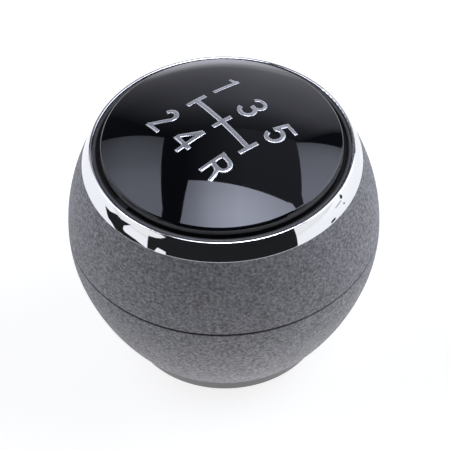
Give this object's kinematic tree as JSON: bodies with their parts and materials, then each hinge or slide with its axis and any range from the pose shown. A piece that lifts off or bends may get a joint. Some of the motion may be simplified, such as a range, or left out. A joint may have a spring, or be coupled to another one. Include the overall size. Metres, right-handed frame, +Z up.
{
  "type": "gear shift knob",
  "caption": "Round gear shift knob with a grained ball body, a chrome ring, a domed black cap for the shift pattern and a threaded socket for the lever.",
  "frame": {"origin": "centre of the foot of the neck collar, the face that the knob stands on", "axes": "+Z up along the lever axis towards the cap, +Y forwards towards the odd gears of the shift pattern, +X to the right"},
  "size_m": [0.052, 0.052, 0.0473],
  "materials": {
    "grained_grey": "fine leather grain, matte",
    "smooth_grey": "smooth satin",
    "core_nylon": "moulded, satin",
    "insert_brass": "turned and knurled",
    "chrome": "bright plated",
    "satin_black": "satin",
    "gloss_black": "high gloss",
    "screw_steel": "zinc plated"
  },
  "bodies": {
    "root": {"neck_collar": "smooth_grey", "lower_shell": "grained_grey", "upper_shell": "grained_grey", "core": "core_nylon", "threaded_insert": "insert_brass", "chrome_ring": "chrome", "cap_bezel": "satin_black", "dome_cap": "gloss_black", "shell_screws": "screw_steel"}
  },
  "joints": []
}
